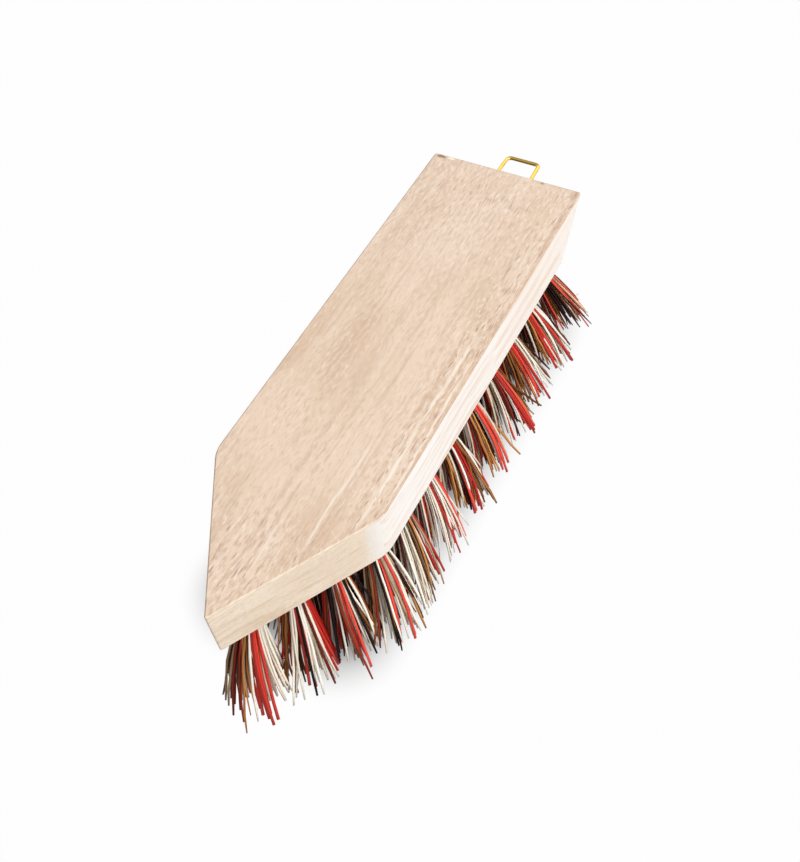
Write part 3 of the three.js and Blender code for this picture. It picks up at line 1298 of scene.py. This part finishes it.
    def places(self) -> list[complex]:
        """Pack the folded filaments side by side along the anchor.

        Returns:
            Where each filament's first leg stands.
        """
        found = []
        row_step = self.spacing * math.sqrt(0.75)
        rows = int(self.filled_radius / row_step) + 1
        columns = int(self.filled_radius / self.spacing) + 1
        for i in range(rows):
            for j in range(-columns, columns + 1):
                place = complex((j + 0.5 * (i % 2)) * self.spacing, self.half_anchor + i * row_step)
                if abs(place) < self.filled_radius:
                    found.append(place)
        return found

    def lay_filament(self, swept: SweptMesh, place: complex) -> None:
        """Add one folded filament.

        Args:
            swept: The tuft's mesh.
            place: Where its first leg stands.
        """
        clump = min(self.clump_places, key=lambda c: abs(c.middle - place))
        kind = clump.kind
        if self.rng.random() > self.loyalty:
            kinds = list(FibreKind)
            kind = self.rng.choices(kinds, [k.value.share for k in kinds])[0]
        finish = kind.value
        first = self.leg(place, clump.leans[0], finish)
        second = self.leg(place.conjugate(), clump.leans[1], finish)
        line = np.array([*reversed(first), *self.fold(place), *second])
        size = self.rng.uniform(self.thinnest, self.thickest) * MM
        chances = np.array([self.rng.uniform(-1, 1) for _ in line])
        uneven = 1 + self.unevenness * chances * (finish.wave > 0)
        if finish.wave:
            uneven[[0, -1]] *= self.end_taper
        half_width = 0.5 * finish.width * size * uneven
        half_thickness = 0.5 * finish.thickness * size * uneven
        swept.sweep(line, self.along_anchor, half_width, half_thickness, kind.slot, self.rng.random())

    def point(self, across: complex, depth: float) -> Vector:
        """Give a point of the tuft from its place across the hole and its depth into the wood."""
        aside = self.along_anchor * across.real + self.over_anchor * across.imag
        return self.root + aside - self.axis * depth

    def fold(self, place: complex) -> list[Vector]:
        """Give the turn of one filament round the anchor.

        Args:
            place: Where its first leg stands.

        Returns:
            Points on a half circle over the anchor.
        """
        away = place.imag
        points = []
        for turn in np.linspace(0, math.pi, self.fold_steps + 1):
            across = complex(place.real, away * math.cos(turn))
            points.append(self.point(across, self.fold_depth + away * math.sin(turn)))
        return points

    def leg(self, place: complex, lean: complex, finish: FibreFinish) -> list[Vector]:
        """Give one leg of a filament, from the wood to its ragged end.

        Args:
            place: Where the leg stands.
            lean: How far its clump leans at the end.
            finish: The kind of fibre.

        Returns:
            Points from the mouth of the hole to the end.
        """
        rng = self.rng
        lock_step = 2 * math.pi / self.locks
        heading = cmath.phase(place) + self.anchor_turn
        lock = round(heading / lock_step)
        lively = self.calm if self.far or self.at_tip else 1.0
        stray = rng.random() < self.stray_share and finish.width * MM < self.stray_width
        own_lean = self.stray_lean * lively if stray else self.fibre_lean
        own_bow = self.stray_bow * lively if stray else finish.bow * MM
        leg = Leg(
            tuft=self,
            place=place,
            lean=self.held_in(lean + self.chance(own_lean)),
            bow=self.chance(own_bow),
            swing=(lock * lock_step - heading) * self.lock_pull,
            wave=finish.wave * MM,
            wavelength=rng.uniform(*self.wavelengths) * MM,
            phase=rng.uniform(0, 2 * math.pi),
        )
        own_level = rng.triangular(0, self.fibre_share, self.usual_share) * self.ragged
        level = self.lock_levels[lock % self.locks] + own_level
        full = leg.reach_down_to(level)
        return [leg.at(full * i / self.leg_steps) for i in range(self.leg_steps + 1)]

    def build_anchor(self, steel: bpy.types.Material) -> None:
        """Make the flat wire that holds the folded filaments in.

        Args:
            steel: The wire's material.
        """
        reach = math.sqrt(self.hole_radius**2 - (self.anchor_thickness / 2) ** 2)
        stations = np.linspace(-reach, reach, self.anchor_steps)
        depth = self.fold_depth - self.anchor_seat * self.half_anchor
        line = np.array([self.point(complex(s, 0.0), depth) for s in stations])
        half_width = np.full(len(line), self.anchor_width / 2)
        half_thickness = np.full(len(line), self.anchor_thickness / 2)
        swept = SweptMesh(self.anchor_sides)
        swept.sweep(line, self.axis, half_width, half_thickness)
        anchor = swept.object("anchor_" + self.node.removeprefix("tuft_"), [steel])
        seat(anchor, self.anchor_slot)


@dataclass(frozen=True)
class Leg:
    """One leg of a filament outside the wood: it opens out, joins a lock, leans, bows and waves."""

    SEARCH_REACH = 1.2
    SEARCH_STEPS = 24
    WAVE_ONSET = 3

    tuft: Tuft
    place: complex
    lean: complex
    bow: complex
    swing: float
    wave: float
    wavelength: float
    phase: float

    def at(self, distance: float) -> Vector:
        """Give the leg's place at a distance from the wood.

        Args:
            distance: How far out of the hole, along the tuft.

        Returns:
            The place in the frame.
        """
        tuft = self.tuft
        share = distance / tuft.length
        eased = math.hypot(share, tuft.rim_ease) - tuft.rim_ease
        opening = 1 + (tuft.end_radius / tuft.filled_radius - 1) * eased / (1 - tuft.rim_ease)
        across = self.place * opening * cmath.rect(1, self.swing * share)
        across += self.lean * share * share + self.bow * 4 * share * max(0.0, 1 - share)
        wave = self.wave * math.sin(2 * math.pi * distance / self.wavelength + self.phase)
        across += wave * min(1.0, self.WAVE_ONSET * share)
        return tuft.point(across, -distance) + tuft.comb * share * share

    def reach_down_to(self, level: float) -> float:
        """Find where the leg comes down to a level.

        Args:
            level: The height above the floor.

        Returns:
            How far out of the hole that is, along the tuft.
        """
        low, high = 0.0, self.SEARCH_REACH * self.tuft.length
        for _ in range(self.SEARCH_STEPS):
            middle = (low + high) / 2
            low, high = (middle, high) if self.at(middle).z > level else (low, middle)
        return low


@dataclass(frozen=True)
class Lamp:
    """A soft square lamp: its name, its place from the block's back edge, its side and its watts."""

    name: str
    place: Size
    side: float
    power: float


@dataclass
class Studio:
    """A white floor, soft light from the brush's left, above and behind, and the camera.

    Places are counted from the block's back edge.
    """

    back: float
    floor_reach: float = 3.0
    floor_colour: str = "8c8c8a"
    floor_glow: float = 0.985
    # The box round the brush's footprint where the floor does not glow: a painted shadow, with the real
    # shadow on the grey floor in it.
    painted_shadow_box: Size = (0.06, 0.013, 1.0)
    painted_shadow_box_fade: float = 0.024
    dome_level: float = 0.38
    lamps: tuple[Lamp, ...] = (
        Lamp("key_light", (0.15, 1.05, 0.72), 0.7, 13.0),
        Lamp("top_light", (0.3, 0.1, 1.1), 0.7, 2.4),
        Lamp("back_light", (-0.6, 0.1, 0.5), 0.5, 0.9),
    )
    target: Size = (0.08, 0.0, 0.03)
    camera_place: Size = (0.244125, 0.11186, 0.27228)
    camera_aim: Size = (0.103445, 0.01653, 0.0455)
    camera_roll: float = math.radians(-7.885)
    lens: float = 45.33
    sensor: float = 36.0
    clip_start: float = 1 * MM

    def build(self) -> None:
        """Set up the floor, the light and the camera."""
        self.lay_floor()
        self.light_dome()
        for lamp in self.lamps:
            self.hang(lamp)
        self.set_camera()
        bpy.context.scene.view_settings.view_transform = "Standard"

    def lay_floor(self) -> None:
        """Lay the floor: white, grey under the brush with a painted shadow and the real shadow on it, and
        open from below.
        """
        sheet = NodeSheet.for_material("studio_floor")
        matte = sheet.node("BsdfDiffuse", {"Color": tint(self.floor_colour)}).outputs[0]
        glow = sheet.node("Emission", {"Strength": 1.0}).outputs[0]
        share = sheet.product(sheet.looked_at(), self.glow_beyond_painted_shadow(sheet))
        lit = sheet.node("MixShader", {0: share, 1: matte, 2: glow}).outputs[0]
        clear = sheet.node("BsdfTransparent").outputs[0]
        beneath = sheet.node("NewGeometry").outputs["Backfacing"]
        surface = sheet.node("MixShader", {0: beneath, 1: lit, 2: clear}).outputs[0]
        shape = bmesh.new()
        bmesh.ops.create_grid(shape, x_segments=1, y_segments=1, size=self.floor_reach)
        mesh = bpy.data.meshes.new("floor")
        shape.to_mesh(mesh)
        shape.free()
        mesh.materials.append(sheet.close("OutputMaterial", surface))
        link("floor", mesh)

    def glow_beyond_painted_shadow(self, sheet: NodeSheet) -> Socket:
        """Say how strongly the floor glows: not under the brush, where the grey floor shows as a painted
        shadow, and fully away from it.

        Args:
            sheet: The floor's nodes.

        Returns:
            0 under the brush, rising to the floor's glow away from it.
        """
        place = sheet.node("TexCoord").outputs["Object"]
        beyond = sheet.vector("SUBTRACT", sheet.vector("ABSOLUTE", place), self.painted_shadow_box)
        distance = sheet.length(sheet.vector("MAXIMUM", beyond, (0, 0, 0)))
        return sheet.product(sheet.band(distance, 0.0, self.painted_shadow_box_fade), self.floor_glow)

    def light_dome(self) -> None:
        """Surround the brush with even light, and with white where the camera sees the background."""
        sheet = NodeSheet(bpy.data.worlds.new("studio_dome"))
        strength = sheet.level(sheet.looked_at(), self.dome_level, 1.0)
        dome = sheet.node("Background", {"Color": (1.0, 1.0, 1.0, 1.0), "Strength": strength}).outputs[0]
        bpy.context.scene.world = sheet.close("OutputWorld", dome)

    def hang(self, lamp: Lamp) -> None:
        """Hang one lamp that points at the brush.

        Args:
            lamp: The lamp.
        """
        light = bpy.data.lights.new(lamp.name, "AREA")
        light.size = lamp.side
        light.energy = lamp.power
        hung = self.put_up(lamp.name, light, lamp.place)
        hung.rotation_quaternion = self.look(lamp.place, self.target)

    def put_up(self, name: str, data: bpy.types.ID, place: Size) -> bpy.types.Object:
        """Put up a lamp or a camera.

        Args:
            name: Its name.
            data: Its settings.
            place: Where it stands.

        Returns:
            The new object, not yet turned.
        """
        made = link(name, data)
        made.location = Vector(place) + Vector((self.back, 0, 0))
        made.rotation_mode = "QUATERNION"
        return made

    @staticmethod
    def look(place: Size, target: Size) -> Quaternion:
        """Give the turn that points a lamp or a camera from a place at a target."""
        return (Vector(target) - Vector(place)).to_track_quat("-Z", "Y")

    def set_camera(self) -> None:
        """Stand the camera where the photograph was taken from."""
        lens = bpy.data.cameras.new("camera")
        lens.lens = self.lens
        lens.sensor_width = self.sensor
        lens.clip_start = self.clip_start
        camera = self.put_up("camera", lens, self.camera_place)
        look = self.look(self.camera_place, self.camera_aim)
        camera.rotation_quaternion = look @ Quaternion((0, 0, 1), self.camera_roll)
        bpy.context.scene.camera = camera


def main() -> None:
    """Build the brush and the studio, piece by piece."""
    logging.basicConfig(level=logging.INFO, format="%(name)s: %(message)s")
    block = BeechBlock()
    loop = HangingLoop()
    Studio(block.back).build()
    names = sorted(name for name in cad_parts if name.startswith("tuft_"))
    tufts = [Tuft(name, Random(f"{name} {SEED}")) for name in names]
    block.build([tuft.bore() for tuft in tufts] + loop.bores(block))
    loop.build(block)
    fibres = [kind.value.material() for kind in FibreKind]
    steel = GALVANISED.material()
    for tuft in tufts:
        tuft.build(fibres, steel)


if __name__ == "__main__":
    main()
